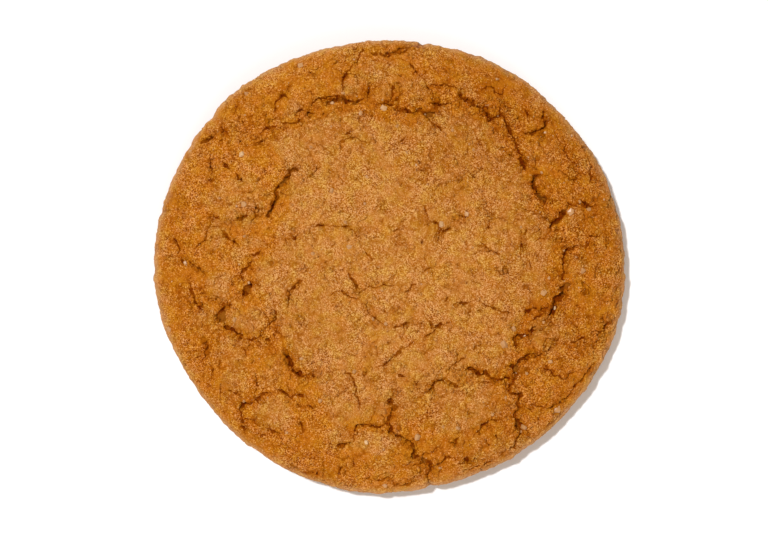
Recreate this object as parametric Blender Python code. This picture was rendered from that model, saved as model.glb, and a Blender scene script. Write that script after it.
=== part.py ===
"""A soft-baked ginger biscuit: one round, low solid with a broken crust.

The body is a turned profile whose outline is slightly out of round. A ring of cracks
parts a nearly flat middle plate from the rounded rim, and shorter cracks run across
the plate and out to the edge. Metres, +Z up, resting on Z = 0 about the origin.
"""

import itertools
import math

import bpy
import numpy as np

MM = 0.001

# Driving sizes
RADIUS = 34.7 * MM
THICKNESS = 8.8 * MM
EDGE_HEIGHT = 2.7 * MM  # where the biscuit is widest
FOOT_SHARE = 0.93  # radius of the flat underside, as a share of RADIUS
DOME_POWER = 4.0  # 2 is a plain dome, more is a flatter top with a rounder shoulder

# Gentle lobes of the outline: how many round the edge, share of the radius, degrees
OUTLINE_LOBES = (
    (2, 0.020, -6),
    (3, 0.0043, 17),
    (4, 0.0035, -13),
    (5, 0.0030, -25),
    (6, 0.0025, 8),
    (9, 0.0022, -19),
)

# Surface relief
SWELL = (11.0 * MM, 0.28 * MM)  # wavelength and height of the broad undulation
LUMPS = (3.6 * MM, 0.13 * MM)  # wavelength and height of the small lumps
VALLEY_HALF_WIDTH = 2.2 * MM  # the sunken band along the ring of cracks
VALLEY_DEPTH = 0.45 * MM
LIP_REACH = 0.9 * MM  # how far from a crack its edge stands proud
LIP_SHARE = 0.16  # height of that edge, as a share of the crack's depth
WANDER = 0.22 * MM  # how far a crack strays from a smooth path
WANDER_LENGTH = 1.4 * MM
LEAST_HALF_WIDTH = 0.28 * MM  # narrower cracks would fall between the facets

# Mesh
SPHERE_LEVELS = 8
TOP_DENSITY = 4.0  # vertices for each unit of area on top, against one underneath
SOLID_TRIANGLES = 11000
SEATING = 0.03 * MM  # what ends this close to the tray lies flat on it

CRUST_COLOUR = (0.47, 0.175, 0.03, 1.0)
CRUST_ROUGHNESS = 0.85

# Cracks, each as (width, depth, path), in millimetres. +X is right and +Y is away.
NORTH_ARC = (
    (0.6, 1.0, ((-19.8, 18.0), (-18.6, 20.3), (-14.5, 21.6), (-11.6, 22.8))),
    (0.8, 1.3, ((-11.9, 23.7), (-10.7, 24.8), (-8.0, 25.1), (-5.8, 24.2), (-4.2, 24.6))),
    (0.7, 1.2, ((-1.7, 24.1), (1.3, 23.3), (3.2, 22.7), (4.4, 23.2), (7.5, 20.2))),
    (0.6, 1.0, ((5.8, 24.1), (9.0, 24.0))),
    (0.8, 1.3, ((10.3, 25.4), (10.9, 24.6), (13.8, 23.5), (14.8, 22.2))),
    (0.8, 1.2, ((14.8, 22.0), (16.4, 22.3), (18.4, 19.6), (19.5, 16.0), (20.2, 14.4))),
)
EAST_ARC = (
    (0.9, 1.4, ((22.2, 13.6), (21.7, 12.6), (22.1, 11.0), (23.3, 9.6))),
    (0.9, 1.3, ((26.4, 8.6), (25.2, 7.1), (23.9, 5.7))),
    (0.7, 1.3, ((28.1, 3.1), (26.2, 1.9), (26.1, -1.0))),
    (1.2, 1.5, ((26.4, -2.7), (25.2, -5.0), (23.9, -7.4))),
    (0.7, 0.9, ((23.2, -6.2), (21.4, -6.4), (20.0, -7.4))),
    (0.9, 1.2, ((22.0, -8.0), (20.6, -10.4), (19.0, -10.5), (18.6, -11.7))),
    (1.2, 1.5, ((21.2, -13.3), (18.6, -15.4), (18.1, -18.2))),
    (0.8, 1.2, ((18.2, -18.6), (19.3, -20.4), (18.7, -22.4), (19.8, -24.5), (18.9, -27.2))),
)
SOUTH_ARC = (
    (0.8, 1.2, ((11.4, -15.4), (13.6, -16.1), (17.8, -16.8))),
    (0.7, 1.2, ((3.6, -17.0), (5.0, -18.9), (7.3, -17.1), (10.5, -17.6))),
    (0.8, 1.1, ((0.8, -18.6), (0.3, -20.0), (0.8, -21.4), (-0.2, -23.2), (-4.6, -23.4))),
    (1.0, 1.4, ((-0.1, -23.4), (1.0, -25.3), (2.9, -26.3), (6.2, -30.0), (5.8, -34.6))),
    (0.6, 0.9, ((-6.8, -15.7), (-5.4, -17.0), (-4.9, -19.4), (-4.2, -21.3))),
    (1.2, 1.4, ((-16.2, -12.9), (-14.2, -15.3), (-12.9, -16.2), (-10.6, -16.6))),
)
WEST_ARC = (
    (0.8, 1.1, ((-24.1, -6.0), (-25.6, -7.8), (-23.6, -9.5), (-20.3, -11.0), (-17.9, -11.0))),
    (0.6, 0.9, ((-17.2, -6.3), (-17.0, -7.8), (-17.7, -9.2))),
    (1.0, 1.3, ((-20.9, -2.6), (-21.9, -4.7))),
    (1.0, 1.5, ((-13.8, 14.4), (-15.3, 12.8), (-17.0, 10.0), (-18.1, 7.5))),
    (0.7, 1.0, ((-19.3, 8.5), (-20.5, 6.9), (-23.2, 6.6))),
)
RIM_CRACKS = (
    (0.7, 1.0, ((-26.2, 19.6), (-28.3, 18.4))),
    (0.6, 1.0, ((-5.0, 30.5), (-7.0, 28.2), (-7.7, 25.4))),
    (0.8, 1.0, ((-2.6, 31.7), (1.2, 32.2), (5.3, 33.6))),
    (0.6, 0.9, ((3.3, 30.1), (5.5, 26.7), (6.6, 25.1))),
    (0.8, 1.1, ((20.4, 19.6), (23.0, 20.8), (23.3, 23.0))),
    (0.7, 1.1, ((26.3, 9.4), (30.5, 8.9))),
    (0.7, 1.0, ((34.8, -8.1), (32.4, -9.3), (29.8, -10.8), (27.2, -11.8))),
    (0.6, 0.8, ((23.1, -15.4), (25.9, -16.8), (28.0, -16.0))),
    (0.6, 0.8, ((23.5, -21.4), (26.9, -19.5), (29.6, -16.2))),
    (0.6, 0.8, ((13.2, -29.9), (17.1, -28.0), (18.5, -27.1))),
    (0.6, 0.9, ((-14.1, -30.3), (-10.0, -31.4))),
    (0.8, 1.0, ((-19.2, -19.2), (-22.4, -21.3), (-21.7, -24.8))),
    (0.7, 0.9, ((-16.6, -18.1), (-12.6, -19.5))),
    (0.8, 1.0, ((-27.1, -11.9), (-28.0, -14.1))),
    (0.7, 1.0, ((-29.9, -2.8), (-28.1, -6.6))),
    (0.7, 0.9, ((-32.0, 1.9), (-29.5, 0.1), (-27.8, -1.2))),
    (0.5, 0.8, ((-25.8, 7.2), (-27.4, 4.0), (-28.8, 2.6))),
)
PLATE_CRACKS = (
    (0.5, 0.7, ((-12.0, 5.2), (-8.5, 6.1), (-4.9, 4.2))),
    (0.6, 0.9, ((-8.5, -4.3), (-4.6, -4.8))),
    (0.5, 0.7, ((-4.5, -4.1), (-2.0, -3.0), (0.5, -3.0))),
    (0.6, 0.9, ((-13.0, -2.0), (-14.9, -4.3), (-15.0, -5.8))),
    (0.6, 0.9, ((4.9, -6.7), (6.4, -9.1), (8.9, -8.4))),
    (0.6, 0.8, ((7.1, 6.3), (7.8, 5.4), (9.5, 7.0), (12.0, 7.3))),
    (0.5, 0.7, ((13.4, 3.4), (16.2, 1.7))),
    (0.5, 0.7, ((13.4, -5.2), (18.0, -7.0))),
)
CRACKS = NORTH_ARC + EAST_ARC + SOUTH_ARC + WEST_ARC + RIM_CRACKS + PLATE_CRACKS

# The crust sinks in a shallow band along these lines, in millimetres
VALLEYS = (
    ((-19.5, 19.0), (-13.0, 22.0), (-6.0, 24.2), (2.0, 23.2), (9.0, 24.2), (15.0, 22.3)),
    ((15.0, 22.3), (21.8, 12.4), (26.4, 1.0), (25.4, -4.5), (18.9, -15.0), (19.4, -25.0)),
    ((18.9, -15.8), (13.6, -16.2), (8.0, -17.4), (1.0, -21.0), (4.0, -27.6), (6.2, -31.0)),
    ((-28.5, -5.0), (-25.0, -8.2), (-20.0, -11.0), (-14.5, -14.6), (-9.0, -17.0)),
    ((-13.8, 14.4), (-17.0, 10.5), (-20.2, 7.4), (-23.2, 6.6)),
)


def clear_scene():
    for old in list(bpy.data.objects):
        bpy.data.objects.remove(old)


def smoothstep(low, high, value):
    t = np.clip((value - low) / (high - low), 0.0, 1.0)
    return t * t * (3.0 - 2.0 * t)


def noise(points, wavelength, seed):
    """Gradient noise from about -1 to 1, the same for the same seed."""
    random = np.random.default_rng(seed)
    order = random.permutation(256)
    slopes = random.normal(size=(256, 3))
    slopes /= np.linalg.norm(slopes, axis=1, keepdims=True)
    scaled = points / wavelength
    cell = np.floor(scaled).astype(np.int64)
    inside = scaled - cell
    ease = inside**3 * (inside * (inside * 6.0 - 15.0) + 10.0)
    total = np.zeros(len(points))
    for corner in itertools.product((0, 1), repeat=3):
        x, y, z = ((cell + corner) & 255).T
        slope = slopes[order[(order[(order[x] + y) & 255] + z) & 255]]
        weight = np.prod(np.where(corner, ease, 1.0 - ease), axis=1)
        total += weight * np.sum((inside - corner) * slope, axis=1)
    return 1.6 * total


def outline_share(angle):
    """The outline's radius in that direction, as a share of RADIUS."""
    share = np.ones_like(angle)
    for lobes, size, direction in OUTLINE_LOBES:
        share += size * np.cos(lobes * (angle - math.radians(direction)))
    return share


def profile():
    """Radius, height and outward normal down the side, with the share of vertices so far."""
    top = np.linspace(0.0, math.pi / 2, 900)
    top_radius = np.sin(top) ** (2.0 / DOME_POWER)
    top_height = EDGE_HEIGHT + (THICKNESS - EDGE_HEIGHT) * np.cos(top)
    turn = np.linspace(0.0, math.pi / 2, 200)[1:]
    turn_radius = FOOT_SHARE + (1.0 - FOOT_SHARE) * np.cos(turn)
    turn_height = EDGE_HEIGHT * (1.0 - np.sin(turn))
    foot_radius = np.linspace(FOOT_SHARE, 0.0, 300)[1:]
    radius = RADIUS * np.concatenate([top_radius, turn_radius, foot_radius])
    height = np.concatenate([top_height, turn_height, np.zeros(len(foot_radius))])
    run = np.gradient(radius)
    rise = np.gradient(height)
    length = np.hypot(run, rise)
    density = np.where(height > 0.2 * EDGE_HEIGHT, TOP_DENSITY, 1.0)
    steps = np.hypot(np.diff(radius), np.diff(height))
    rings = 0.5 * (radius[1:] + radius[:-1]) * steps * density[1:]
    share = np.concatenate([[0.0], np.cumsum(rings)]) / np.sum(rings)
    return radius, height, -rise / length, run / length, share


def smooth_path(points, step=0.4 * MM):
    """A Catmull-Rom curve through the points, as points a step apart."""
    points = np.array(points) * MM
    ends = np.vstack([2 * points[0] - points[1], points, 2 * points[-1] - points[-2]])
    curve = [points[0]]
    for a, b, c, d in zip(ends, ends[1:], ends[2:], ends[3:]):
        count = max(1, round(np.linalg.norm(c - b) / step))
        for t in np.arange(1, count + 1) / count:
            square = (2 * a - 5 * b + 4 * c - d) * t**2
            cube = (3 * b - a - 3 * c + d) * t**3
            curve.append(0.5 * (2 * b + (c - a) * t + square + cube))
    return np.array(curve)


def distance_to(path, places):
    """Distance of each place from the path, and how far along it is nearest, 0 to 1."""
    nearest = np.full(len(places), np.inf)
    along = np.zeros(len(places))
    steps = np.linalg.norm(np.diff(path, axis=0), axis=1)
    walked = np.concatenate([[0.0], np.cumsum(steps)])
    for start, end, step, before in zip(path, path[1:], steps, walked):
        share = np.clip((places - start) @ (end - start) / step**2, 0.0, 1.0)
        gap = np.linalg.norm(places - start - share[:, None] * (end - start), axis=1)
        closer = gap < nearest
        nearest[closer] = gap[closer]
        along[closer] = (before + share[closer] * step) / walked[-1]
    return nearest, along


def crack_relief(places):
    """Change of height from the cracks: down inside each, and a little up beside it."""
    sunk = np.zeros(len(places))
    raised = np.zeros(len(places))
    for width, depth, points in CRACKS:
        path = smooth_path(points)
        reach = width * MM + 3 * LIP_REACH
        inside = np.all((places > path.min(0) - reach) & (places < path.max(0) + reach), axis=1)
        near = np.nonzero(inside)[0]
        gap, along = distance_to(path, places[near])
        narrowing = np.clip(4.0 * along * (1.0 - along) + 0.15, 0.0, 1.0) ** 0.4
        half = np.maximum(0.5 * width * MM * narrowing, LEAST_HALF_WIDTH)
        wall = 1.0 - np.clip(gap / half, 0.0, 1.0) ** 2.2
        sunk[near] = np.maximum(sunk[near], depth * MM * narrowing * wall)
        lip = np.exp(-((gap / LIP_REACH) ** 2)) * LIP_SHARE * depth * MM * narrowing
        raised[near] = np.maximum(raised[near], lip)
    return raised - sunk


def valley_relief(places):
    sunk = np.zeros(len(places))
    for points in VALLEYS:
        gap, _ = distance_to(smooth_path(points, step=2 * MM), places)
        sunk = np.maximum(sunk, np.exp(-((gap / VALLEY_HALF_WIDTH) ** 2)))
    return -VALLEY_DEPTH * sunk


def shape_body(sphere):
    """Moves a unit sphere's vertices to the biscuit's surface."""
    radius, height, outward, upward, share = profile()
    angle = np.arctan2(sphere[:, 1], sphere[:, 0])
    down = 0.5 * (1.0 - np.clip(sphere[:, 2], -1.0, 1.0))
    reach = np.interp(down, share, radius) * outline_share(angle)
    level = np.interp(down, share, height)
    out = np.interp(down, share, outward)
    up = np.interp(down, share, upward)
    body = np.stack([reach * np.cos(angle), reach * np.sin(angle), level], axis=1)
    normal = np.stack([out * np.cos(angle), out * np.sin(angle), up], axis=1)

    stray = [noise(body, WANDER_LENGTH, seed) for seed in (1, 2)]
    places = body[:, :2] + WANDER * np.stack(stray, axis=1)
    crust = smoothstep(0.25 * EDGE_HEIGHT, 1.1 * EDGE_HEIGHT, level)
    side = smoothstep(0.0, 0.5 * EDGE_HEIGHT, level)
    relief = crust * (crack_relief(places) + valley_relief(places))
    for seed, (wavelength, size) in enumerate((SWELL, LUMPS), start=3):
        relief += side * size * noise(body, wavelength, seed)
    return body + normal * relief[:, None]


def settle(points):
    """Centres the body over the origin and flattens what all but touches the tray."""
    middle = 0.5 * (points[:, :2].min(0) + points[:, :2].max(0))
    points[:, :2] -= middle
    points[points[:, 2] < SEATING, 2] = 0.0
    return points


def crust_material():
    material = bpy.data.materials.new("crust")
    material.use_nodes = True
    shader = material.node_tree.nodes["Principled BSDF"]
    shader.inputs["Base Color"].default_value = CRUST_COLOUR
    shader.inputs["Roughness"].default_value = CRUST_ROUGHNESS
    shader.inputs["Metallic"].default_value = 0.0
    return material


def get_points(mesh):
    points = np.empty(len(mesh.vertices) * 3)
    mesh.vertices.foreach_get("co", points)
    return points.reshape(-1, 3)


def set_points(mesh, points):
    mesh.vertices.foreach_set("co", points.ravel())
    mesh.update()


def make_biscuit():
    bpy.ops.mesh.primitive_ico_sphere_add(subdivisions=SPHERE_LEVELS, radius=1.0)
    biscuit = bpy.context.object
    biscuit.name = "biscuit"
    mesh = biscuit.data
    set_points(mesh, shape_body(get_points(mesh)))

    fewer = biscuit.modifiers.new("Decimate", "DECIMATE")
    fewer.ratio = SOLID_TRIANGLES / len(mesh.polygons)
    bpy.ops.object.modifier_apply(modifier=fewer.name)

    set_points(mesh, settle(get_points(mesh)))
    mesh.materials.append(crust_material())
    mesh.shade_smooth()
    return biscuit


def main():
    clear_scene()
    collection = bpy.data.collections.new("ginger_biscuit")
    bpy.context.scene.collection.children.link(collection)
    biscuit = make_biscuit()
    for old in list(biscuit.users_collection):
        old.objects.unlink(biscuit)
    collection.objects.link(biscuit)


main()
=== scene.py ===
"""The looks of a soft ginger biscuit: a cracked crust with sugar and crumbs on it.

The crust repeats the solid's outline and dome, much finer, so that it carries every crack.
Crumbs, sugar crystals and fine sugar lie on it. Lengths are in millimetres.
"""

import itertools
import math

import bpy
import numpy as np
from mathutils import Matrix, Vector
from mathutils.bvhtree import BVHTree


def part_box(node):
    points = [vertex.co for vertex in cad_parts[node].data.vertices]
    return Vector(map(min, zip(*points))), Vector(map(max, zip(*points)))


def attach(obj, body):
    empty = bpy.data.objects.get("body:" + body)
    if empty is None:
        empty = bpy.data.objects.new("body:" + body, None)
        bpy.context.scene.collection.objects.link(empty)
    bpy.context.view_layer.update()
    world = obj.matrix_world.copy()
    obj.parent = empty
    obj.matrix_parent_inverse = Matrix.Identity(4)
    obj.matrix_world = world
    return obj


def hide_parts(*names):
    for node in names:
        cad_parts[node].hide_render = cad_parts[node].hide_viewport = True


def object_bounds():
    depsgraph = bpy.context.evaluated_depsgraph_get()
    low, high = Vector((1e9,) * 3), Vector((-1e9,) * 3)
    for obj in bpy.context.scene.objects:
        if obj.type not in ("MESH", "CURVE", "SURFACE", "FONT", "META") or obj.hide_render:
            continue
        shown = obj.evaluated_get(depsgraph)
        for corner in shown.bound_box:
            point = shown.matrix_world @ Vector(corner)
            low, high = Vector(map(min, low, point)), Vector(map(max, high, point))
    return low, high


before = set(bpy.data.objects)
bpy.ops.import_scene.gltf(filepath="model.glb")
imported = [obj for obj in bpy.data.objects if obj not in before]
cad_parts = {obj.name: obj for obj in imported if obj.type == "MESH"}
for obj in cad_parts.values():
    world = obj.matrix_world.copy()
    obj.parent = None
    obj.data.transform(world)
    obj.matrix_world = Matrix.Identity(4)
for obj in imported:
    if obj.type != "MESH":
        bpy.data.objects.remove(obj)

MM = 0.001
CAD_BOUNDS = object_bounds()

# Outline and dome, as the part has them
RADIUS = 34.7
THICKNESS = 8.8
EDGE_HEIGHT = 2.7
FOOT_SHARE = 0.93
DOME_POWER = 4.0
# Lobes of the outline: how many, their size as a share of the radius, and where one points
OUTLINE_LOBES = (
    (2, 0.020, -6), (3, 0.0043, 17), (4, 0.0035, -13),
    (5, 0.0030, -25), (6, 0.0025, 8), (9, 0.0022, -19),
)
# Small steps in the outline: direction in degrees, depth, half width in degrees
OUTLINE_DENTS = (
    (-79.3, 0.3, 1.2), (-13.6, 0.35, 2.2), (81.5, 0.30, 1.2),
    (140.2, 0.30, 1.1), (148.9, 0.25, 1.0), (167.0, 0.25, 0.9),
)
# Broader hollows and swellings of it, in the same terms
OUTLINE_SWELLINGS = (
    (36.0, -0.12, 8.0), (56.0, -0.10, 5.0), (83.0, -0.20, 6.0), (107.0, 0.17, 8.0), (147.0, 0.15, 7.0),
    (167.0, -0.15, 5.0), (191.0, -0.18, 6.0), (228.0, -0.20, 9.0), (252.0, 0.15, 5.0), (277.0, 0.16, 6.0),
    (294.0, 0.22, 8.0), (324.0, 0.14, 6.0), (348.0, -0.25, 8.0),
)

# Heights of the side between which the relief of the side, and then that of the top, sets in
SIDE_LEVELS = (0.0, 0.5 * EDGE_HEIGHT)
CRUST_LEVELS = (0.25 * EDGE_HEIGHT, 1.1 * EDGE_HEIGHT)
RIM_LEVELS = (4.5, 6.5)

# Layers of noise, each with its wavelength, size and seed
SWELL = ((11.0, 0.15, 3), (3.6, 0.10, 4))
GRAIN = ((0.36, 0.045, 75),)
RIM_CRUMBLE = ((2.0, 0.12, 93), (0.9, 0.10, 94))
PILLOWS = ((2.9, 0.13, 70), (1.35, 0.11, 71), (0.7, 0.06, 72))  # rounded, and they meet in creases
WANDER = ((1.6, 0.30, 100), (0.7, 0.22, 102), (0.35, 0.09, 104))  # of a crack from its path
PLATE_WANDER = ((2.8, 0.9, 180), (1.3, 0.5, 182), (0.6, 0.25, 184))  # of a plate's outline
RAGGEDNESS = ((1.0, 1.3, 60), (0.5, 0.8, 64))  # of a crack's width
MOST_RAGGED = 2.4
BEND = (1.7, 0.25, (61, 62, 63))  # of the pillows, pits and pores, with a seed for each axis
CALM_RIM = (0.88, 0.97)  # shares of the radius between which the fine relief gets calmer

# Noise that is cut off between two values: wavelength, seed, and where it starts and ends
BROKEN = (1.7, 66, -0.7, 0.0)  # where no dough bridges the cracks
PITS = (1.2, 76, 0.5, 0.62)  # on top and on the side
PORES = (1.5, 77, 0.35, 0.6)  # underneath
FLOOR_PATCHES = (1.2, 79, -0.1, 0.3)  # of the floor's own colour, in wide cracks
PIT_DEPTH = 0.2
PORE_DEPTH = 0.3

# Creases, and fine tears between the cracks: wavelength, depth, height of the step across, and seed
CREASE_WIDTH = 0.16
TEARS = ((3.8, 0.24, 0.07, 80), (1.9, 0.14, 0.04, 90))
TEAR_WIDTH = 0.11
TEAR_PATCHES = (0.1, 0.4)
STEP_SHARPNESS = 0.12  # in the noise that draws the tears
# Half widths of the dark lines of painted shade that the tears and the two coarser kinds of creases draw
LINE_HALF_WIDTHS = {"tear_1": 0.08, "tear_2": 0.06, "crease_1": 0.06, "crease_2": 0.045}
FAR = 2.0  # a distance from a line at which nothing of it shows
SLOPE = 2.2  # how steeply noise crosses 0, over one wavelength

# Cracks: their depth by their width, and half the opening by the powers of the width
CRACK_WIDTHS = (0.2, 0.35, 0.6, 1.0)
CRACK_DEPTHS = (0.20, 0.32, 0.50, 0.72)
OPENING = (0.05, 0.22, 0.13)
END_DEPTH = 0.25  # what is left of a crack at its ends, as the square of a share
BRIDGED_WIDTH = 0.35  # dough bridges a crack of this width here and there
WALL_START = 0.4  # of the half opening
WALL_SLANT = 0.09  # how far past it the wall ends
WIDE = 0.6  # a wider crack shows its floor
FLOOR_GRAIN = (0.6, 0.25, 78)  # wavelength, size and seed
SHOULDER_REACH = 0.5
SHOULDER_SHARE = 0.12
LIP_REACH = 1.0
LIP_SHARE = 0.16
CRUMBLE_REACH = 0.65  # how far from a crack the crust is broken into lumps
CRUMBLE_SHARES = (0.6, 1.0)  # for the narrowest crack and for a wide one
PINHOLE_DEPTH = 0.6

# The sunken band along the ring of cracks, and the pale plates
VALLEY_HALF_WIDTH = 2.2
VALLEY_DEPTH = 0.20
PLATE_RISE = 0.07  # how far a crusted plate stands above the dough round it
PLATE_SOFTNESS = 0.6

# Mesh
SPHERE_LEVELS = 9
TOP_DENSITY = 6.0
CRUST_TRIANGLES = 196000
SEATING = 0.03
SLACK_BESIDE = 0.02  # between the crust and the solid's box
SLACK_ABOVE = 0.06

# Cracks: the width, then x and y of each point of the path. +X is right and +Y is away.
NORTH_WEST = (
    (0.5, -28.2, 18.5, -27.3, 19.1, -26.2, 19.5),
    (0.3, -25.3, 21.3, -25.0, 20.0, -24.5, 19.8),
    (0.25, -23.1, 24.2, -23.2, 23.0),
    (0.25, -15.3, 25.0, -16.0, 25.6, -16.8, 24.3, -16.8, 22.6),
    (0.25, -19.8, 18.0, -19.3, 18.4, -18.7, 18.6),
    (0.4, -19.3, 19.6, -18.6, 20.3, -17.4, 20.6),
    (0.3, -16.1, 21.2, -14.0, 21.3, -13.0, 21.8),
    (0.45, -14.0, 22.4, -13.3, 23.1, -12.4, 22.8, -11.5, 22.7),
    (0.25, -27.0, 16.8, -26.8, 15.0, -26.5, 14.2, -27.0, 12.3),
    (0.35, -24.9, 15.4, -23.8, 14.5),
    (0.45, -22.8, 13.7, -22.3, 13.0, -22.1, 12.6),
    (0.75, -13.8, 14.4, -14.6, 13.9, -15.1, 13.0, -16.0, 12.2, -16.9, 11.4),
    (0.35, -16.8, 11.5, -17.2, 10.4, -17.0, 9.7),
    (0.9, -16.8, 9.9, -17.4, 9.0, -17.7, 8.2, -18.2, 7.5),
    (0.2, -12.0, 13.0, -11.6, 13.4, -10.9, 14.3, -10.4, 14.9),
)
NORTH = (
    (0.45, -11.9, 28.9, -11.1, 28.4),
    (0.3, -4.0, 32.3, -4.7, 31.6, -5.0, 30.5, -5.7, 29.4, -7.1, 27.7, -7.2, 26.0),
    (0.5, -2.6, 31.7, -0.3, 31.5, 0.8, 32.1, 3.5, 32.9, 5.0, 33.1, 5.4, 34.0),
    (0.25, 1.7, 31.7, 2.6, 32.2, 3.4, 32.5),
    (0.45, -11.9, 23.6, -11.5, 24.2, -10.7, 24.8, -9.3, 25.1, -7.5, 25.4, -6.6, 24.9),
    (0.9, -9.5, 24.3, -8.0, 24.8, -6.4, 24.6, -5.0, 24.2),
    (0.4, -6.6, 24.9, -5.6, 24.1, -4.6, 24.4, -4.0, 25.0),
    (0.3, -3.1, 26.3, -3.2, 25.4, -3.3, 24.9),
    (0.2, 0.9, 27.3, 0.7, 26.2, 0.5, 25.4, 0.0, 24.7),
    (0.4, -1.6, 24.1, -0.2, 23.9, 0.6, 24.0),
    (0.4, 1.3, 23.0, 2.4, 23.1, 3.2, 22.7, 4.0, 22.8, 4.5, 23.4, 5.2, 22.8),
    (0.4, 5.2, 22.8, 5.6, 22.2, 6.4, 21.2, 7.3, 20.3, 7.8, 20.0),
    (0.7, 5.2, 22.4, 6.8, 22.6),
    (0.3, 3.3, 30.1, 3.6, 29.4, 4.5, 28.3, 5.2, 27.6, 5.6, 26.5, 6.3, 26.0, 6.6, 25.1),
    (0.25, 6.2, 27.0, 8.2, 27.0, 9.0, 26.8, 10.0, 26.5, 11.1, 26.0),
    (0.4, 5.8, 24.1, 7.8, 24.0, 9.0, 24.0),
    (0.55, 10.3, 25.6, 10.8, 24.6, 12.0, 24.4, 12.9, 23.8, 13.8, 23.5, 14.1, 22.9),
    (0.55, 14.1, 22.9, 15.2, 21.9, 16.4, 22.2, 16.6, 22.7, 16.5, 23.3),
    (0.5, 16.6, 22.6, 17.2, 21.7, 17.4, 20.9, 18.2, 19.9, 18.8, 18.0, 19.4, 17.0),
    (0.5, 19.4, 17.0, 19.6, 16.4, 19.4, 15.6, 20.1, 14.8, 20.2, 14.2),
    (0.2, -7.4, 17.4, -7.2, 18.0, -5.9, 19.0, -4.8, 19.0, -4.2, 18.5, -2.2, 18.2),
    (0.2, -6.7, 19.4, -5.9, 19.8, -5.7, 20.6),
    (0.2, 2.6, 19.4, 2.5, 18.9, 1.7, 18.4, 1.3, 17.6),
)
NORTH_EAST = (
    (0.2, 14.0, 26.2, 14.6, 26.6, 15.5, 26.5, 15.8, 25.8, 16.6, 25.6, 17.2, 26.2),
    (0.5, 20.4, 19.6, 21.8, 19.8, 22.9, 20.6, 23.9, 21.7),
    (0.6, 23.3, 22.0, 23.2, 23.0, 23.6, 23.0),
    (0.2, 20.6, 22.8, 20.7, 22.0),
    (0.2, 26.0, 18.9, 26.3, 17.9, 26.1, 17.3, 26.8, 16.0, 28.0, 15.0, 28.1, 14.3),
    (0.2, 29.8, 16.1, 30.1, 15.3, 30.6, 15.0, 30.2, 14.2, 30.3, 12.6),
    (0.25, 21.6, 15.9, 21.7, 15.3),
    (0.7, 22.2, 13.5, 21.6, 12.9, 21.5, 12.0, 21.9, 11.2, 22.7, 10.2, 23.4, 9.9, 23.2, 9.4),
    (0.25, 5.8, 6.2, 6.4, 6.5, 7.1, 6.2, 7.3, 5.5, 8.0, 5.3, 8.9, 5.6, 9.2, 6.3),
    (0.25, 9.2, 6.3, 9.7, 6.5, 9.6, 7.2, 11.0, 7.2, 12.0, 7.3),
    (0.25, 7.4, 5.2, 7.5, 4.4, 7.3, 3.5),
    (0.2, 4.8, 9.1, 5.3, 8.7, 5.7, 7.2),
    (0.2, 13.0, 8.5, 13.6, 9.1, 14.4, 9.4),
    (0.2, 14.8, 6.6, 14.7, 6.0, 14.1, 5.3, 14.0, 4.5),
)
WEST = (
    (0.45, -19.2, 8.5, -19.8, 8.2, -19.8, 7.6, -20.4, 6.9),
    (0.25, -21.2, 7.4, -22.3, 6.9, -23.1, 6.6),
    (0.25, -25.8, 7.1, -26.8, 6.4, -27.2, 5.2, -27.4, 4.0, -28.4, 3.4, -28.8, 2.6),
    (0.2, -27.2, 5.4, -26.2, 5.9, -25.4, 5.8),
    (0.4, -24.8, 5.1, -24.2, 4.5, -23.6, 3.7, -22.4, 3.0),
    (0.25, -32.3, 4.5, -31.9, 3.5, -31.6, 2.6, -32.0, 1.3),
    (0.3, -31.1, 1.0, -30.8, 0.3),
    (0.55, -29.5, 0.2, -29.0, -0.4, -28.4, -0.6, -27.8, -1.2),
    (0.4, -29.9, -2.8, -29.3, -4.4, -29.1, -5.6, -28.1, -6.6),
    (0.25, -27.6, -4.6, -26.4, -4.9),
    (0.25, -27.7, -3.1, -28.3, -3.6),
    (0.3, -20.8, 1.4, -20.1, 1.6, -19.2, 2.3),
    (0.4, -20.1, 0.4, -21.0, -0.1, -21.8, -0.7, -22.2, -1.2, -22.0, -2.0),
    (0.2, -22.2, -1.3, -23.3, -1.9),
    (0.85, -20.6, -2.6, -21.3, -3.4, -21.8, -4.6),
    (0.2, -15.3, 4.0, -15.3, 3.2),
    (0.25, -13.5, 4.9, -14.1, 4.0),
    (0.3, -13.0, -2.0, -14.2, -3.3, -14.8, -4.0, -14.9, -5.0, -15.0, -5.8),
    (0.25, -26.6, -5.8, -25.8, -5.7, -24.4, -5.8),
    (0.55, -24.0, -6.0, -24.8, -6.8, -25.6, -7.5, -25.9, -8.1),
    (0.8, -24.6, -7.2, -25.2, -8.3),
    (0.45, -24.9, -8.6, -24.4, -9.2, -23.5, -9.4, -22.6, -9.9, -22.0, -10.4, -22.4, -11.1),
    (0.35, -21.2, -10.9, -20.3, -11.1, -19.1, -10.3, -19.0, -9.6),
    (0.35, -18.4, -11.1, -17.8, -11.0),
    (0.35, -17.2, -6.3, -17.0, -8.0, -17.6, -8.6, -17.7, -9.2),
)
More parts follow.
